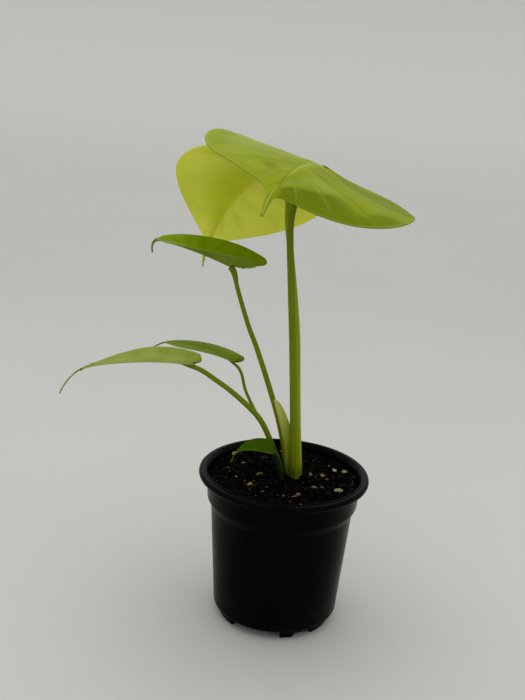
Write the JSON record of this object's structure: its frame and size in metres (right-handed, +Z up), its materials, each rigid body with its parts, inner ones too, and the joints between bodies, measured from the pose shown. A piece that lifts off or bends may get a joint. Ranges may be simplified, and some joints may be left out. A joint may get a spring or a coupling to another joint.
{
  "type": "potted golden aroid plant",
  "caption": "Young foliage plant in a round black nursery pot: golden green heart-shaped leaves with drip tips on slim arching stalks.",
  "frame": {"origin": "centre of the pot's foot plane, on the low pad under the pot's floor", "axes": "+Z up along the pot's axis, -Y to the front where the big leaf's tip points, +X to the right as seen from the front"},
  "size_m": [0.2023, 0.204, 0.3076],
  "materials": {
    "pot_plastic": "black moulded plastic, semi-gloss",
    "potting_mix": "dark damp potting mix, matte",
    "root_flesh": "pale fleshy stem and roots",
    "leaf_front": "soft green leaf, satin",
    "leaf_golden": "golden leaf, back-lit, satin",
    "leaf_mid": "dark green leaf, satin",
    "leaf_low": "green leaf, satin",
    "leaf_back": "grey-green leaf, satin",
    "leaf_soil": "green leaf, satin",
    "stalk": "green stalk, satin"
  },
  "bodies": {
    "root": {"pot": "pot_plastic", "soil": "potting_mix", "crown": "root_flesh", "leaf_front": "leaf_front", "stalk_front": "stalk", "leaf_golden": "leaf_golden", "stalk_golden": "stalk", "leaf_mid": "leaf_mid", "stalk_mid": "stalk", "leaf_low": "leaf_low", "stalk_low": "stalk", "leaf_back": "leaf_back", "stalk_back": "stalk", "leaf_soil": "leaf_soil", "stalk_soil": "stalk"}
  },
  "joints": []
}
